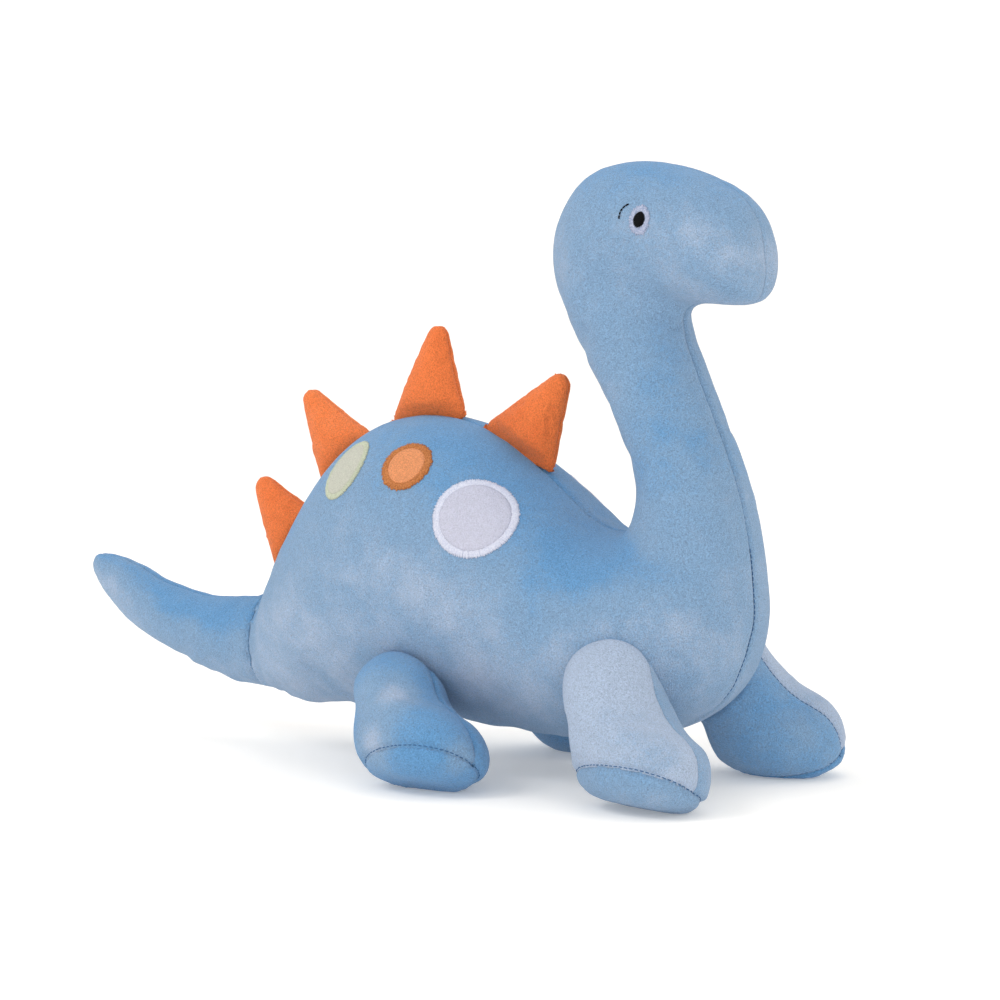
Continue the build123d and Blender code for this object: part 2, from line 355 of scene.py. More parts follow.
def inflated(obj, closeness, pressure, cap_mm):
    """Blows an object up as cloth. closeness gives how near each vertex is to a seam, from 0 to 1,
    and the fabric is shorter there, so that it puckers. No vertex moves further than the cap."""
    group = obj.vertex_groups.new(name="seam")
    for i, w in enumerate(closeness):
        group.add([i], float(w), "REPLACE")
    before = coordinates(obj)
    modifier = obj.modifiers.new("cloth", "CLOTH")
    cloth = modifier.settings
    cloth.quality = 5
    cloth.use_pressure = True
    cloth.uniform_pressure_force = pressure
    cloth.tension_stiffness = cloth.compression_stiffness = 20
    cloth.shear_stiffness = 8
    cloth.bending_stiffness = 0.4
    cloth.vertex_group_shrink = "seam"
    cloth.shrink_min, cloth.shrink_max = 0.0, 0.05
    cloth.effector_weights.gravity = 0
    modifier.collision_settings.use_collision = False
    modifier.point_cache.frame_start, modifier.point_cache.frame_end = 1, SIM_FRAMES
    for number in range(1, SIM_FRAMES + 1):
        scene.frame_set(number)
    apply_modifiers(obj)
    moved = coordinates(obj) - before
    out = np.empty(len(obj.data.vertices) * 3, np.float32)
    obj.data.vertices.foreach_get("normal", out)
    out = out.reshape(-1, 3)
    outwards = np.sum(moved * out, axis=1, keepdims=True)
    moved += out * np.maximum(0, -INWARD_MM * MM - outwards)
    length = np.linalg.norm(moved, axis=1, keepdims=True)
    place(obj, before + moved * np.minimum(1, cap_mm * MM / np.maximum(length, 1e-9)))
    scene.frame_set(1)
    obj.vertex_groups.clear()


def subdivided(obj, levels=1):
    """Rounds an object's mesh off."""
    modifier = obj.modifiers.new("round", "SUBSURF")
    modifier.levels = modifier.render_levels = levels
    apply_modifiers(obj)


# ---------------------------------------------------------------- seams


def cut_beside(bm, point, normal, cuts_mm=SEAM_CUTS_MM):
    """Adds the edges where planes beside a seam's plane cross a mesh."""
    for offset in cuts_mm:
        everything = bm.verts[:] + bm.edges[:] + bm.faces[:]
        at = point + normal * offset * MM
        bmesh.ops.bisect_plane(
            bm, geom=everything, dist=SNAP_MM * MM, plane_co=at, plane_no=normal, use_snap_center=True
        )


def ridge(p, along_mm, seed):
    """A smooth random value at a place, the same at the same place every time."""
    return noise.noise(Vector((p.x, p.y, p.z)) / (along_mm * MM) + Vector((seed, seed * 2.7, 0)))


def draw_in(bm, point, normal, depth_mm, reach_mm, pucker_mm, seed, where=None):
    """Turns the fabric down into a seam, and puckers it beside the seam. where gives the share of
    the depth that is wanted at a place."""
    bm.normal_update()
    moves = []
    for v in bm.verts:
        s = (v.co - point).dot(normal)
        share = where(v.co) if where else 1.0
        if abs(s) > SEAM_REACH_MM * MM or not share:
            continue
        down = depth_mm * share * math.exp(-((s / (reach_mm * MM)) ** 2))
        foot = v.co - normal * s
        fold = ridge(foot, PUCKER_MM[0], seed) + 0.6 * ridge(foot, PUCKER_MM[1], seed + 3)
        down += pucker_mm * fold * math.exp(-abs(s) / (PUCKER_REACH_MM * MM))
        moves.append((v, v.co - v.normal * down * MM))
    for v, co in moves:
        v.co = co


def seam_lines(bm):
    """The edges between marked vertices, as lines of (place, outward direction)."""
    bm.normal_update()
    on = {v for v in bm.verts if v.tag}
    links = {v: [e.other_vert(v) for e in v.link_edges if e.other_vert(v) in on] for v in on}
    left, lines = set(on), []
    while left:
        ends = [v for v in left if len(links[v]) == 1]
        here = min(ends or left, key=lambda v: (round(v.co.x, 5), round(v.co.z, 5), v.index))
        line = []
        while here is not None:
            left.discard(here)
            line.append((here.co.copy(), here.normal.copy()))
            ahead = [v for v in links[here] if v in left]
            here = min(ahead, key=lambda v: (v.co - line[-1][0]).length) if ahead else None
        if len(line) > 2:
            if (line[0][0] - line[-1][0]).length < RING_GAP_MM * MM:
                line.append(line[0])
            lines.append(line)
    return lines


def tag_seam(bm, point, normal):
    """Marks the vertices in a seam's plane, before they are drawn in."""
    for v in bm.verts:
        v.tag = abs((v.co - point).dot(normal)) < ON_SEAM_MM * MM


def strand(path, radius, sides=6):
    """Vertices and faces of a thread along a path, rounded at its ends."""
    path = [Vector(p) for p in path]
    verts, faces = [], []
    last = len(path) - 1
    whole = path[last] - path[0]
    least = min((X_AXIS, Y_AXIS, Z_AXIS), key=lambda axis: abs(whole.dot(axis)))
    for i, p in enumerate(path):
        along = (path[min(i + 1, last)] - path[max(i - 1, 0)]).normalized()
        side = along.cross(least).normalized()
        other = along.cross(side)
        r = radius * (0.55 if i in (0, last) else 1.0)
        for k in range(sides):
            a = 2 * math.pi * k / sides
            verts.append(p + (side * math.cos(a) + other * math.sin(a)) * r)
    for i in range(last):
        for k in range(sides):
            n = (k + 1) % sides
            faces.append((i * sides + k, i * sides + n, (i + 1) * sides + n, (i + 1) * sides + k))
    faces.append(tuple(range(sides))[::-1])
    faces.append(tuple(range(last * sides, (last + 1) * sides)))
    return verts, faces


def along_line(line, pitch):
    """Places at even steps along a line: (place, direction, outward direction)."""
    travelled, wanted = 0.0, pitch / 2
    for (p, n), (q, m) in zip(line, line[1:]):
        step = (q - p).length
        while step > 0 and travelled + step >= wanted:
            t = (wanted - travelled) / step
            yield p.lerp(q, t), (q - p).normalized(), n.lerp(m, t).normalized()
            wanted += pitch
        travelled += step


def stitches(lines, shown, lift_mm=0.1):
    """Stitches that lie along seams, where shown says so. Returns parts for joined()."""
    parts = []
    for line in lines:
        for p, along, out in along_line(line, STITCH_PITCH_MM * MM):
            if not shown(p):
                continue
            half = along * STITCH_MM * MM / 2
            top = p + out * lift_mm * MM
            low = out * THREAD_MM * MM
            path = [top - half - low, top - half * 0.6, top, top + half * 0.6, top + half - low]
            parts.append(strand(path, THREAD_MM * MM))
    return parts


def panel(bm, name, keep):
    """The part of a skin whose faces keep() says, as fabric with its thickness inwards."""
    part = bm.copy()
    drop = [f for f in part.faces if not keep(f.calc_center_median())]
    bmesh.ops.delete(part, geom=drop, context="FACES")
    mesh = bpy.data.meshes.new(name)
    part.to_mesh(mesh)
    part.free()
    obj = bpy.data.objects.new(name, mesh)
    scene.collection.objects.link(obj)
    thick = obj.modifiers.new("fabric", "SOLIDIFY")
    thick.thickness, thick.offset = FABRIC_MM * MM, -1
    apply_modifiers(obj)
    for poly in obj.data.polygons:
        poly.use_smooth = True
    return obj


# ---------------------------------------------------------------- materials


def material(name):
    """A new material, with its nodes, its links and its surface shader."""
    made = bpy.data.materials.new(name)
    made.use_nodes = True
    nodes, links = made.node_tree.nodes, made.node_tree.links
    return made, nodes, links, nodes["Principled BSDF"]


def noise_node(nodes, links, place, scale, detail=2.0, rough=0.5, warp=0.0):
    """A noise texture of so many features a metre."""
    made = nodes.new("ShaderNodeTexNoise")
    made.inputs["Scale"].default_value = scale
    made.inputs["Detail"].default_value = detail
    made.inputs["Roughness"].default_value = rough
    made.inputs["Distortion"].default_value = warp
    links.new(place, made.inputs["Vector"])
    return made.outputs["Fac"]


def maths(nodes, links, kind, a, b):
    """The result of one sum on two values, each a socket or a number."""
    made = nodes.new("ShaderNodeMath")
    made.operation = kind
    for socket, value in zip(made.inputs, (a, b)):
        if isinstance(value, (int, float)):
            socket.default_value = value
        else:
            links.new(value, socket)
    return made.outputs[0]


def ramp(nodes, links, factor, stops):
    """A colour ramp: stops are (place, colour)."""
    made = nodes.new("ShaderNodeValToRGB")
    made.color_ramp.interpolation = "EASE"
    for n, (at, colour) in enumerate(stops):
        point = made.color_ramp.elements[n] if n < 2 else made.color_ramp.elements.new(at)
        point.position = at
        point.color = (*colour, 1)
    links.new(factor, made.inputs["Fac"])
    return made.outputs["Color"]


MEAN_GRAIN = 0.85  # of the fine noise that darkens and raises the pile


def centred(nodes, links, value, gain):
    """How far a value is from one half, times a gain."""
    return maths(nodes, links, "MULTIPLY", maths(nodes, links, "SUBTRACT", value, 0.5), gain)


def plush(name, dark, middle, pale, sheen, sheen_tint, patchy=1.0, grainy=0.9):
    """Short cut pile that lies this way and that, so that it is darker and paler in patches. Each piece's
    attribute adds its painted shade and painted light.
    """
    made, nodes, links, shader = material(name)
    place = nodes.new("ShaderNodeTexCoord").outputs["Object"]
    nap_and_painted_light = nodes.new("ShaderNodeAttribute")
    nap_and_painted_light.attribute_name = "nap_and_painted_light"
    broad = noise_node(nodes, links, place, 17, 3, 0.5, 0.7)
    cloudy = noise_node(nodes, links, place, 60, 4, 0.6, 0.4)
    grain = noise_node(nodes, links, place, 900, 2, 0.7)
    speck = noise_node(nodes, links, place, 1700, 1, 0.5)
    lie = centred(nodes, links, broad, 0.62 * patchy)
    lie = maths(nodes, links, "ADD", lie, centred(nodes, links, cloudy, 0.4 * patchy))
    # Each piece's attribute: the lie of its pile, with painted shade and painted light.
    lie = maths(nodes, links, "ADD", lie, maths(nodes, links, "MULTIPLY", nap_and_painted_light.outputs["Fac"], 0.36))
    lie = maths(nodes, links, "ADD", lie, centred(nodes, links, grain, 0.4))
    lie = maths(nodes, links, "ADD", lie, 0.5)
    colour = ramp(nodes, links, lie, [(0.08, pale), (0.92, dark), (0.5, middle)])
    both = maths(nodes, links, "ADD", maths(nodes, links, "MULTIPLY", grain, 0.7), speck)
    shade = maths(nodes, links, "MULTIPLY", both, grainy)
    shade = maths(nodes, links, "ADD", shade, 1 - MEAN_GRAIN * grainy)
    mixed = nodes.new("ShaderNodeMix")
    mixed.data_type = "RGBA"
    mixed.blend_type = "MULTIPLY"
    mixed.inputs["Factor"].default_value = 1.0
    links.new(colour, mixed.inputs["A"])
    links.new(shade, mixed.inputs["B"])
    links.new(mixed.outputs["Result"], shader.inputs["Base Color"])
    bump = nodes.new("ShaderNodeBump")
    bump.inputs["Strength"].default_value = 0.8
    bump.inputs["Distance"].default_value = 0.0008
    links.new(both, bump.inputs["Height"])
    links.new(bump.outputs["Normal"], shader.inputs["Normal"])
    shader.inputs["Roughness"].default_value = 0.92
    shader.inputs["Specular IOR Level"].default_value = 0.15
    shader.inputs["Sheen Weight"].default_value = sheen
    shader.inputs["Sheen Roughness"].default_value = 0.45
    shader.inputs["Sheen Tint"].default_value = (*sheen_tint, 1)
    return made


def thread_material(name, colour, dark, shine):
    """Twisted thread."""
    made, nodes, links, shader = material(name)
    place = nodes.new("ShaderNodeTexCoord").outputs["Object"]
    twist = noise_node(nodes, links, place, 1500, 2, 0.6)
    tone = ramp(nodes, links, twist, [(0.3, dark), (0.7, colour)])
    links.new(tone, shader.inputs["Base Color"])
    bump = nodes.new("ShaderNodeBump")
    bump.inputs["Strength"].default_value = 0.4
    bump.inputs["Distance"].default_value = 0.0002
    links.new(twist, bump.inputs["Height"])
    links.new(bump.outputs["Normal"], shader.inputs["Normal"])
    shader.inputs["Roughness"].default_value = shine
    shader.inputs["Specular IOR Level"].default_value = 0.12
    return made


def fibre_material():
    """Loose white stuffing fibre."""
    made, nodes, links, shader = material("stuffing fibre")
    place = nodes.new("ShaderNodeTexCoord").outputs["Object"]
    clumps = noise_node(nodes, links, place, 90, 5, 0.65, 1.5)
    strands = noise_node(nodes, links, place, 700, 3, 0.7, 3.0)
    both = maths(nodes, links, "ADD", clumps, maths(nodes, links, "MULTIPLY", strands, 0.6))
    tone = ramp(nodes, links, both, [(0.5, (0.7, 0.7, 0.68)), (1.0, (0.92, 0.92, 0.9))])
    links.new(tone, shader.inputs["Base Color"])
    bump = nodes.new("ShaderNodeBump")
    bump.inputs["Strength"].default_value = 0.8
    bump.inputs["Distance"].default_value = 0.002
    links.new(both, bump.inputs["Height"])
    links.new(bump.outputs["Normal"], shader.inputs["Normal"])
    shader.inputs["Roughness"].default_value = 0.95
    shader.inputs["Sheen Weight"].default_value = 0.4
    return made


BLUE = plush(
    "blue plush", (0.118, 0.29, 0.53), (0.2, 0.33, 0.505), (0.38, 0.465, 0.61), 0.3, (0.8, 0.87, 1.0)
)
ORANGE = plush(
    "orange plush", (0.66, 0.125, 0.033), (0.78, 0.19, 0.055), (0.86, 0.29, 0.12), 0.2, (1.0, 0.75, 0.6), 0.8
)
WHITE_SPOT = plush(
    "white spot fabric", (0.48, 0.485, 0.61), (0.53, 0.54, 0.66), (0.58, 0.59, 0.7), 0.1, (1, 1, 1), 0.3, 0.5
)
ORANGE_SPOT = plush(
    "orange spot fabric", (0.62, 0.21, 0.08), (0.7, 0.28, 0.125), (0.78, 0.36, 0.18), 0.1, (1, 0.8, 0.6), 0.4
)
CREAM_SPOT = plush(
    "cream spot fabric", (0.44, 0.45, 0.4), (0.52, 0.53, 0.46), (0.6, 0.61, 0.54), 0.1, (1, 1, 1), 0.3, 0.5
)
WHITE_THREAD = thread_material("white thread", (0.72, 0.74, 0.84), (0.55, 0.58, 0.72), 0.45)
ORANGE_THREAD = thread_material("orange thread", (0.6, 0.24, 0.085), (0.36, 0.12, 0.035), 0.45)
CREAM_THREAD = thread_material("cream thread", (0.58, 0.62, 0.5), (0.44, 0.48, 0.36), 0.6)
BLACK_THREAD = thread_material("black thread", (0.004, 0.004, 0.006), (0.001, 0.001, 0.002), 0.6)
EYE_THREAD = thread_material("eye thread", (0.5, 0.54, 0.68), (0.26, 0.32, 0.48), 0.6)
PALE_THREAD = thread_material("pale blue thread", (0.17, 0.31, 0.49), (0.11, 0.23, 0.4), 0.7)
BLUE_THREAD = thread_material("blue thread", (0.07, 0.17, 0.34), (0.04, 0.1, 0.22), 0.7)
FIBRE = fibre_material()


def nap_and_painted_light_of(obj, level, patches=(), upward=0.0):
    """How dark the pile is painted at each of a piece's vertices: the lie of the pile, with painted shade
    where the fabric faces up and painted light in some patches.
    """
    co = coordinates(obj)
    out = np.empty(len(co) * 3, np.float32)
    obj.data.vertices.foreach_get("normal", out)
    # Painted shade, partly the lie of the pile: darker where the fabric faces up.
    value = level + upward * np.clip((out.reshape(-1, 3)[:, 2] - 0.1) / 0.7, 0, 1)
    for place, radius, strength in patches:
        far = np.linalg.norm(co / MM - np.array(place), axis=1)
        value = value + strength * np.exp(-((far / radius) ** 2))
    return value


def both_sides(patches):
    """The patches, and their mirror images."""
    return patches + [((x, -y, z), radius, strength) for (x, y, z), radius, strength in patches]


def finish_piece(obj, body, slot, look, nodes=(), nap_and_painted_light=None, blend=None):
    """Gives a piece its material, and the lie of its pile with its painted shade and light. Without a blend
    it ties the piece to the frame; with one it only bakes the piece's place into its mesh.
    """
    obj.data.materials.clear()
    obj.data.materials.append(look)
    for poly in obj.data.polygons:
        poly.use_smooth = True
    if nap_and_painted_light is not None:
        attribute = obj.data.attributes.new("nap_and_painted_light", "FLOAT", "POINT")
        attribute.data.foreach_set("value", nap_and_painted_light.astype(np.float32))
    if nodes:
        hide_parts(*nodes)
    if blend:
        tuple(blend[2])
        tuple(blend[3])
        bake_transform(obj)
    else:
        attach(obj, body)


JOINTS = {j["name"]: j for j in frame["joints"]}


def blend_across(joint, direction, before_mm, after_mm):
    hinge = JOINTS[joint]
    pivot, along = Vector(hinge["pos_m"]), Vector(direction).normalized()
    ends = pivot - along * before_mm * MM, pivot + along * after_mm * MM
    return hinge["parent"], hinge["child"], tuple(ends[0]), tuple(ends[1])


# ---------------------------------------------------------------- body and tail

tail_seam = Vector((TAIL_SEAM_X_MM * MM, 0, 0))

# The span across the neck's joint. Its direction leans forward so that the back's hump, which is as high as
# the pivot, is on the torso's side of it.
NECK_BLEND = blend_across("neck_bend", (0.4, 0, 0.92), 32, 32)
TAIL_BLEND = blend_across("tail_wag", (-1, 0, 0.1), 22, 20)


def seam_closeness(distances, reach_mm=4.0):
    """From 0, far from every seam, to 1, on one."""
    nearest = np.min(np.abs(np.array(distances)), axis=0)
    return np.exp(-((nearest / (reach_mm * MM)) ** 2))


def on_head(p):
    """From 0 on the neck to 1 on the head, where the middle seam is flat."""
    return min(1.0, max(0.0, (p.z / MM - HEAD_Z_MM) / HEAD_FADE_MM))


def build_body():
    """The body's and the tail's skin as one closed mesh, with its seams drawn in and the vertices of
    its middle seam marked."""
    obj = make("body_whole", *joined([tube(s) for s in (TORSO, NECK, HEAD, TAIL)]))
    remeshed(obj, BODY_VOXEL_MM, 6)
    co = coordinates(obj)
    inflated(obj, seam_closeness([co[:, 1], co[:, 0] - tail_seam.x]), 5.0, 2.5)
    subdivided(obj)
    bm = bmesh.new()
    bm.from_mesh(obj.data)
    bpy.data.objects.remove(obj)
    cut_beside(bm, ORIGIN, Y_AXIS)
    cut_beside(bm, tail_seam, X_AXIS)
    tag_seam(bm, ORIGIN, Y_AXIS)
    draw_in(bm, ORIGIN, Y_AXIS, 1.4, 1.5, 0.18, 5, lambda p: 1 - 0.65 * on_head(p))
    draw_in(bm, tail_seam, X_AXIS, 1.6, 1.6, 1.4, 11, lambda p: p.z < TAIL_SEAM_TOP_MM * MM)
    return bm


body_bm = build_body()
body_lines = seam_lines(body_bm)
body_tree = BVHTree.FromBMesh(body_bm)


def depth_in_body(p):
    """How far a place is inside the body's skin; below 0 outside it."""
    at, out, _, _ = body_tree.find_nearest(p)
    return (at - p).dot(out)


for side, sign in (("right", -1), ("left", 1)):
    skin = panel(body_bm, f"body_skin_{side}", lambda c: c.y * sign > 0 and c.x > tail_seam.x)
    nap_and_painted_light = nap_and_painted_light_of(skin, BODY_NAP, both_sides(NAP_AND_PAINTED_LIGHT), UPWARD_NAP_AND_SHADE)
    finish_piece(skin, "torso", "blue_plush", BLUE, [f"body_panel_{side}"], nap_and_painted_light, NECK_BLEND)
    skin = panel(body_bm, f"tail_skin_{side}", lambda c: c.y * sign > 0 and c.x < tail_seam.x)
    nap_and_painted_light = nap_and_painted_light_of(skin, BODY_NAP, both_sides(NAP_AND_PAINTED_LIGHT), UPWARD_NAP_AND_SHADE)
    finish_piece(skin, "tail", "blue_plush", BLUE, [f"tail_panel_{side}"], nap_and_painted_light, TAIL_BLEND)


def on_chest(p):
    """Whether a place on the middle seam is where the chest's stitches show."""
    return p.x > CHEST_X_MM * MM and CHEST_LOW_MM * MM < p.z < CHEST_HIGH_MM * MM


def thread_piece(name, parts, body, nodes=(), blend=None, look=BLUE_THREAD):
    """Stitches as one piece."""
    obj = make(name, *joined(parts))
    finish_piece(obj, body, "blue_thread", look, nodes, None, blend)


thread_piece("chest_seam_thread", stitches(body_lines, on_chest, 0.5), "torso", ["chest_seam_stitches"])
rest_of_seam = stitches(body_lines, lambda p: p.x > tail_seam.x and not on_chest(p) and not on_head(p))
thread_piece("body_seam_thread", rest_of_seam, "torso", (), NECK_BLEND, PALE_THREAD)
rest_of_seam = stitches(body_lines, lambda p: p.x < tail_seam.x)
thread_piece("tail_middle_thread", rest_of_seam, "tail", (), TAIL_BLEND, PALE_THREAD)


def ring_lines(bm, point, normal):
    """The line in which a plane crosses a mesh, as it is after the seams are drawn in."""
    copy = bm.copy()
    cut = bmesh.ops.bisect_plane(
        copy, geom=copy.verts[:] + copy.edges[:] + copy.faces[:], dist=1e-6, plane_co=point, plane_no=normal
    )
    chosen = {g for g in cut["geom_cut"] if isinstance(g, bmesh.types.BMVert)}
    for v in copy.verts:
        v.tag = v in chosen
    lines = seam_lines(copy)
    copy.free()
    return lines


tail_lines = ring_lines(body_bm, tail_seam, X_AXIS)
tail_ring = stitches(tail_lines, lambda p: True, 0.15)
thread_piece("tail_seam_stitches", tail_ring, "torso", ["tail_seam_thread"], None, PALE_THREAD)


# ---------------------------------------------------------------- legs


def leg_matrix(sole, hip, turn, sign):
    """The leg's own frame: its X is where the toe points, and its Z runs up the leg."""
    sole, hip = Vector(sole) * MM, Vector(hip) * MM
    sole.y, hip.y = sole.y * sign, hip.y * sign
    up = (hip - sole).normalized()
    turn = math.radians(turn)
    toe = Vector((math.cos(turn), -math.sin(turn) * sign, 0))
    toe = (toe - up * toe.dot(up)).normalized()
    side = up.cross(toe)
    return Matrix((toe, side, up)).transposed().to_4x4(), sole


def settle(bm):
    """Draws a leg's fabric in where it is sewn to the body, and presses it flat where it stands."""
    for v in bm.verts:
        out = -depth_in_body(v.co)
        if out < SEWN_GAP_MM * MM and v.co.z > SEWN_ABOVE_MM * MM:
            share = math.exp(-((max(out, 0) / (SEWN_REACH_MM * MM)) ** 2))
            v.co -= v.normal * SEWN_DEPTH_MM * MM * share
        if v.co.z < STANDING_MM * MM:
            v.co.z = STANDING_MM * MM * math.exp(min(0.0, v.co.z / MM - STANDING_MM) * 0.4)


def build_leg(name, stations, sole, hip, turn, seam, side, sign):
    """One leg's skin, cut into its outer and inner panel and its sole."""
    turned, foot = leg_matrix(sole, hip, turn, sign)
    at = Matrix.Translation(foot) @ turned
    key = f"{name}_{side}"
    obj = make(f"{key}_whole", *tube(stations))
    obj.data.transform(at)
    remeshed(obj, LEG_VOXEL_MM, 3)
    mid_normal = turned.col[1].xyz
    height_mm, toe_slope, side_slope = seam
    sole_seam = foot + turned.col[2].xyz * height_mm * MM
    up = turned.col[0].xyz * toe_slope + mid_normal * side_slope * sign + turned.col[2].xyz
    up.normalize()
    co = coordinates(obj)
    middle = (co - np.array(foot)) @ np.array(mid_normal)
    height = (co - np.array(sole_seam)) @ np.array(up)
    inflated(obj, seam_closeness([middle, height], 3.5), 5.0, 2.0)
    subdivided(obj)
    bm = bmesh.new()
    bm.from_mesh(obj.data)
    bpy.data.objects.remove(obj)
    cut_beside(bm, foot, mid_normal)
    cut_beside(bm, sole_seam, up)
    tag_seam(bm, foot, mid_normal)
    middle_verts = {v for v in bm.verts if v.tag}
    tag_seam(bm, sole_seam, up)
    sole_verts = {v for v in bm.verts if v.tag}
    seed = 20 + sign * 3 + len(stations)
    depth = FLAT_LEG_SEAM_MM if key == "leg_front_right" else LEG_SEAM_MM
    draw_in(bm, foot, mid_normal, depth, 1.5, 0.3, seed, lambda p: (p - sole_seam).dot(up) > 0)
    draw_in(bm, sole_seam, up, 1.5, 1.6, 0.6, seed + 5)
    above = {v: (v.co - sole_seam).dot(up) for v in bm.verts}
    settle(bm)
    hidden = [v for v in bm.verts if depth_in_body(v.co) > INSIDE_MM * MM]
    for v in bm.verts:
        v.tag = v in middle_verts and above[v] > -1e-6
    bmesh.ops.delete(bm, geom=hidden, context="VERTS")
    bm.normal_update()
    # The right legs' middle seams show no thread
    lines = seam_lines(bm) if side == "left" else []
    for v in bm.verts:
        v.tag = v in sole_verts
    lines += seam_lines(bm)
    outward = Vector((0, sign * -0.8, -0.6))
    blend = blend_across(f"{key}_swing", outward, 6, 26)
    outer_nap, inner_nap, sole_nap = LEG_NAP[key]

    def is_sole(c):
        return (c - sole_seam).dot(up) < 0

    def is_outer(c):
        return (c - foot).dot(mid_normal) * sign < 0

    for part, keep, level in (
        ("outer_panel", lambda c: not is_sole(c) and is_outer(c), outer_nap),
        ("inner_panel", lambda c: not is_sole(c) and not is_outer(c), inner_nap),
        ("sole", is_sole, sole_nap),
    ):
        skin = panel(bm, f"{key}_{part}_skin", keep)
        nap_and_painted_light = nap_and_painted_light_of(skin, level, LEG_PATCHES)
        finish_piece(skin, key, "blue_plush", BLUE, [f"{key}_{part}"], nap_and_painted_light, blend)
    parts = stitches(lines, lambda p: depth_in_body(p) < 0 and p.z > 1.2 * MM)
    thread_piece(f"{key}_thread", parts, key, (), blend)
    bm.free()


for leg in LEGS:
    build_leg(*leg, "right", 1)
    build_leg(*leg, "left", -1)


# ---------------------------------------------------------------- spikes


def build_spike(number, low, high, tip):
    """One spike's two panels."""
    low, high, tip = (Vector((x, 0, z)) for x, z in (low, high, tip))
    base, rise = (low + high) / 2, tip - (low + high) / 2
    square = math.degrees(math.atan2(high.z - low.z, high.x - low.x)) + 90
    leaning = math.degrees(math.atan2(rise.z, rise.x))
    stations = []
    for share, half_length, half_thickness in [(-0.08, 23.5, 2.0)] + SPIKE_FORM:
        centre = base + rise * share
        lean = square + (leaning - square) * min(1.0, 1.5 * share)
        stations.append((centre.x, centre.z, lean, half_length, half_thickness))
    obj = make(f"spike_{number}_whole", *tube(stations, 4, 32))
    remeshed(obj, 1.6, 6)
    co = coordinates(obj)
    inflated(obj, seam_closeness([co[:, 1]], 2.0), 3.0, 0.9)
    subdivided(obj)
    bm = bmesh.new()
    bm.from_mesh(obj.data)
    bpy.data.objects.remove(obj)
    cut_beside(bm, ORIGIN, Y_AXIS, (-1.6, -0.7, 0.0, 0.7, 1.6))
    draw_in(bm, ORIGIN, Y_AXIS, 0.7, 0.8, 0.06, 40 + number)
    up = Vector((-(high.z - low.z), 0, high.x - low.x)).normalized()
    blend = blend_across(f"spike_{number}_flop", up, -0.5, 7)
    for side, sign in (("right", -1), ("left", 1)):
        skin = panel(bm, f"spike_{number}_skin_{side}", lambda c: c.y * sign > 0)
        nap_and_painted_light = nap_and_painted_light_of(skin, 0.25 * math.sin(number * 2.1))
        nodes = [f"spike_{number}_panel_{side}"]
        finish_piece(skin, f"spike_{number}", "orange_plush", ORANGE, nodes, nap_and_painted_light, blend)
    bm.free()


for number, ends in enumerate(SPIKES, 1):
    build_spike(number, *ends)


# ---------------------------------------------------------------- spots and eyes


class Surface:
    """Places on the body's skin, seen along a direction: u is across it and v is up it."""

    def __init__(self, centre, out, sign):
        self.centre = Vector(centre) * MM
        self.out = Vector(out).normalized()
        self.centre.y *= sign
        self.out.y *= sign
        self.across = Z_AXIS.cross(self.out).normalized()
        self.up = self.out.cross(self.across)

    def at(self, u, v, lift_mm=0.0):
        start = self.centre + self.across * u * MM + self.up * v * MM + self.out * 30 * MM
        hit = None
        while hit is None:
            hit, _, _, _ = body_tree.ray_cast(start, -self.out, 60 * MM)
            start += (self.across + self.up) * 0.02 * MM  # a ray can slip between two faces
        return hit + self.out * lift_mm * MM


def patch(name, surface, half_width, half_height, thickness_mm, lift_mm):
    """A flat oval of fabric lying on the body, with its edge turned down."""
    rings, count = 14, 72
    verts, faces = [surface.at(0, 0, lift_mm + thickness_mm)], []
    for r in range(1, rings + 1):
        share = r / rings
        drop = thickness_mm * max(0.0, (share - 0.85) / 0.15) ** 2
        for k in range(count):
            a = 2 * math.pi * k / count
            u, v = half_width * share * math.cos(a), half_height * share * math.sin(a)
            verts.append(surface.at(u, v, lift_mm + thickness_mm - drop))
    for k in range(count):
        faces.append((0, 1 + k, 1 + (k + 1) % count))
    for r in range(rings - 1):
        for k in range(count):
            n = (k + 1) % count
            inner, outer = 1 + r * count, 1 + (r + 1) * count
            faces.append((inner + k, outer + k, outer + n, inner + n))
    obj = make(name, verts, faces)
    thick = obj.modifiers.new("fabric", "SOLIDIFY")
    thick.thickness, thick.offset = 0.5 * MM, 0
    apply_modifiers(obj)
    return obj


def satin_ring(surface, outer, inner, width_mm, lift_mm, uneven):
    """Satin stitches side by side from an inner to an outer oval."""
    around = math.pi * (outer[0] + outer[1])
    parts = []
    count = int(around / width_mm)
    for k in range(count):
        a = 2 * math.pi * (k + rng.uniform(-0.2, 0.2)) / count
        near, far = rng.uniform(-uneven, uneven), rng.uniform(-uneven, uneven)
        skew = 0.03
        path = []
        for t in (0.0, 0.2, 0.5, 0.8, 1.0):
            u = (inner[0] + near) * (1 - t) + (outer[0] + far) * t
            v = (inner[1] + near) * (1 - t) + (outer[1] + far) * t
            angle = a + skew * (t - 0.5)
            bulge = lift_mm * (0.25 + 3.0 * t * (1 - t))
            path.append(surface.at(u * math.cos(angle), v * math.sin(angle), bulge))
        parts.append(strand(path, width_mm * 0.62 * MM, 5))
    return parts


def satin_oval(surface, half_width, half_height, width_mm, lift_mm):
    """Satin stitches that lie across an oval, one above another."""
    parts = []
    count = int(2 * half_height / width_mm)
    for k in range(count):
        v = half_height * (2 * (k + 0.5) / count - 1)
        reach = half_width * math.sqrt(max(0.0, 1 - (v / half_height) ** 2)) + 0.25
        tilt = 0.35
        path = []
        for t in (-1.0, -0.6, 0.0, 0.6, 1.0):
            path.append(surface.at(reach * t, v + tilt * t, lift_mm * (1.15 - 0.6 * t * t)))
        parts.append(strand(path, width_mm * 0.62 * MM, 5))
    return parts


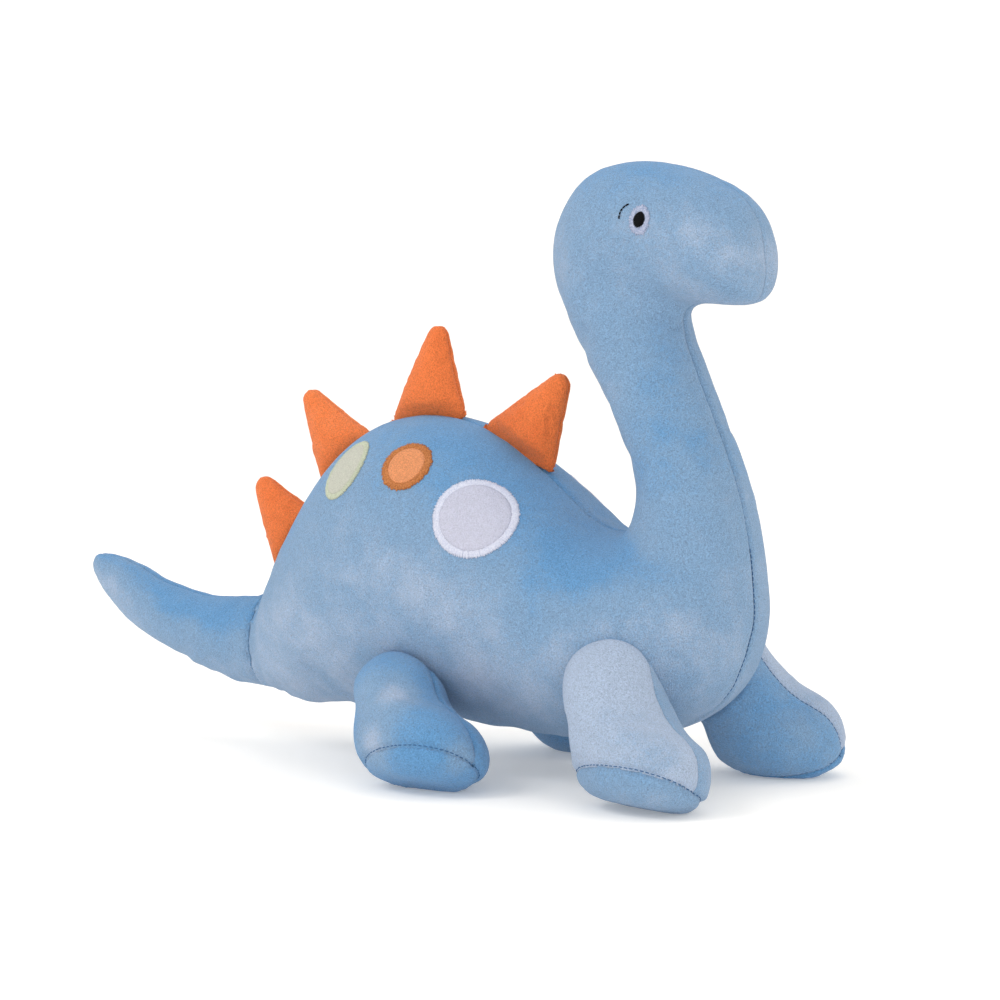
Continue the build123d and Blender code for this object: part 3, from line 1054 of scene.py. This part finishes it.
def brow_place(t):
    """Across and up from the eye's centre, for a share t of the way along the arc behind the eye."""
    (u0, v0), (u1, v1), (u2, v2) = BROW
    u = u0 * (1 - t) ** 2 + (4 * u1 - u0 - u2) * t * (1 - t) + u2 * t * t
    v = v0 * (1 - t) ** 2 + (4 * v1 - v0 - v2) * t * (1 - t) + v2 * t * t
    return u, v


SPOT_LOOKS = {
    "white": (WHITE_SPOT, WHITE_THREAD, "white_spot_fabric", "white_thread"),
    "orange": (ORANGE_SPOT, ORANGE_THREAD, "orange_spot_fabric", "orange_thread"),
    "cream": (CREAM_SPOT, CREAM_THREAD, "cream_spot_fabric", "cream_thread"),
}
for side, sign in (("right", 1), ("left", -1)):
    for name, centre, out, width, height, border in SPOTS:
        surface = Surface(centre, out, sign)
        fabric, thread, fabric_slot, thread_slot = SPOT_LOOKS[name]
        w, h = width / 2, height / 2
        obj = patch(f"spot_{name}_{side}_fabric", surface, w - border + 0.8, h - border + 0.8, 0.5, 0.3)
        nap_and_painted_light = nap_and_painted_light_of(obj, 0.0)
        finish_piece(obj, "torso", fabric_slot, fabric, [f"spot_{name}_{side}_patch"], nap_and_painted_light)
        uneven = 0.5 if name == "orange" else 0.3
        ring = satin_ring(surface, (w, h), (w - border, h - border), 0.55, 0.6, uneven)
        obj = make(f"spot_{name}_{side}_satin", *joined(ring))
        finish_piece(obj, "torso", thread_slot, thread, [f"spot_{name}_{side}_border"])
    surface = Surface(EYE_CENTRE, EYE_OUT, sign)
    ring = satin_ring(surface, EYE_WHITE, (PUPIL[0] - 0.2, PUPIL[1] - 0.2), 0.45, 0.4, 0.4)
    obj = make(f"eye_white_{side}_satin", *joined(ring))
    finish_piece(obj, "head", "white_thread", EYE_THREAD, [f"eye_white_{side}"])
    obj = make(f"eye_pupil_{side}_satin", *joined(satin_oval(surface, *PUPIL, 0.34, 0.75)))
    finish_piece(obj, "head", "black_thread", BLACK_THREAD, [f"eye_pupil_{side}"])
    parts = []
    for k in range(BROW_STITCHES):
        ends = ((k + 0.06) / BROW_STITCHES, (k + 0.5) / BROW_STITCHES, (k + 0.94) / BROW_STITCHES)
        places = [brow_place(t) for t in ends]
        path = [surface.at(u * sign, v, 0.25) for u, v in places]
        parts.append(strand(path, 0.45 * MM, 6))
    obj = make(f"eye_brow_{side}_stitches", *joined(parts))
    finish_piece(obj, "head", "black_thread", BLACK_THREAD, [f"eye_brow_{side}"])


# ---------------------------------------------------------------- stuffing


def build_fill(node, body):
    """A lump of fibre in the space that a stuffing node holds."""
    obj = bpy.data.objects.new(node.replace("stuffing", "fill"), frame["nodes"][node].data.copy())
    scene.collection.objects.link(obj)
    small = "spike" in node
    remeshed(obj, 2.5 if small else FILL_VOXEL_MM, 2)
    bm = bmesh.new()
    bm.from_mesh(obj.data)
    bm.normal_update()
    deep, room = (0.9, 0.0) if small else (3.0, NECK_ROOM_MM)
    neck = Vector(JOINTS["neck_bend"]["pos_m"])
    for v in bm.verts:
        lump = 0.5 + 0.5 * noise.noise(v.co / (9 * MM))
        far = (v.co - neck).length / (NECK_ROOM_REACH_MM * MM)
        v.co -= v.normal * MM * (deep * (0.8 + 0.5 * lump) + room * math.exp(-(far**2)))
    bm.to_mesh(obj.data)
    bm.free()
    subdivided(obj)
    finish_piece(obj, body, "stuffing_fibre", FIBRE, [node])


for body, members in frame["record"]["behaviour"]["bodies"].items():
    for node in members:
        if node.endswith("stuffing"):
            build_fill(node, body)


# ---------------------------------------------------------------- floor, light and camera


def build_stage():
    """A plain pale floor that turns up far away, all the way round."""
    profile = [(0.0, 0.0), (1.0, 0.0), (2.0, 0.0), (FLOOR_FLAT_M, 0.0)]
    for k in range(1, 9):
        a = math.pi / 2 * k / 8
        out, up = FLOOR_BEND_M * math.sin(a), FLOOR_BEND_M * (1 - math.cos(a))
        profile.append((FLOOR_FLAT_M + out, up))
    profile.append((FLOOR_FLAT_M + FLOOR_BEND_M, FLOOR_TOP_M))
    count = 64
    verts, faces = [], []
    for r, z in profile:
        for k in range(count):
            a = 2 * math.pi * k / count
            verts.append((r * math.cos(a), r * math.sin(a), z))
    for r in range(len(profile) - 1):
        for k in range(count):
            n = (k + 1) % count
            faces.append((r * count + k, r * count + n, (r + 1) * count + n, (r + 1) * count + k))
    floor = make("floor", verts, faces)
    made, _, _, shader = material("pale floor")
    shader.inputs["Base Color"].default_value = (0.92, 0.9, 0.87, 1)
    shader.inputs["Roughness"].default_value = 0.9
    shader.inputs["Specular IOR Level"].default_value = 0.1
    shader.inputs["Emission Color"].default_value = (1, 1, 1, 1)
    shader.inputs["Emission Strength"].default_value = 0.2
    floor.data.materials.append(made)
    for poly in floor.data.polygons:
        poly.use_smooth = True


def aimed(name, data, place, target):
    """A lamp or a camera at a place, pointed at a target."""
    obj = bpy.data.objects.new(name, data)
    obj.location = place
    obj.rotation_euler = (Vector(target) - Vector(place)).to_track_quat("-Z", "Y").to_euler()
    scene.collection.objects.link(obj)
    return obj


def add_light(name, place, size, power):
    """A round soft light."""
    data = bpy.data.lights.new(name, "AREA")
    data.shape = "DISK"
    data.size, data.energy = size, power
    aimed(name, data, place, LIGHTS_AIM)


def build_world():
    """An even white surrounding."""
    world = bpy.data.worlds.new("studio")
    scene.world = world
    world.use_nodes = True
    background = world.node_tree.nodes["Background"]
    background.inputs["Color"].default_value = (1, 1, 1, 1)
    background.inputs["Strength"].default_value = WORLD_STRENGTH


build_stage()
build_world()
for light in LIGHTS:
    add_light(*light)

lens = bpy.data.cameras.new("camera")
lens.lens, lens.sensor_width = LENS_MM, SENSOR_MM
scene.camera = aimed("camera", lens, Vector(CAMERA_MM) * MM, Vector(CAMERA_AIM_MM) * MM)
scene.view_settings.view_transform = "Standard"
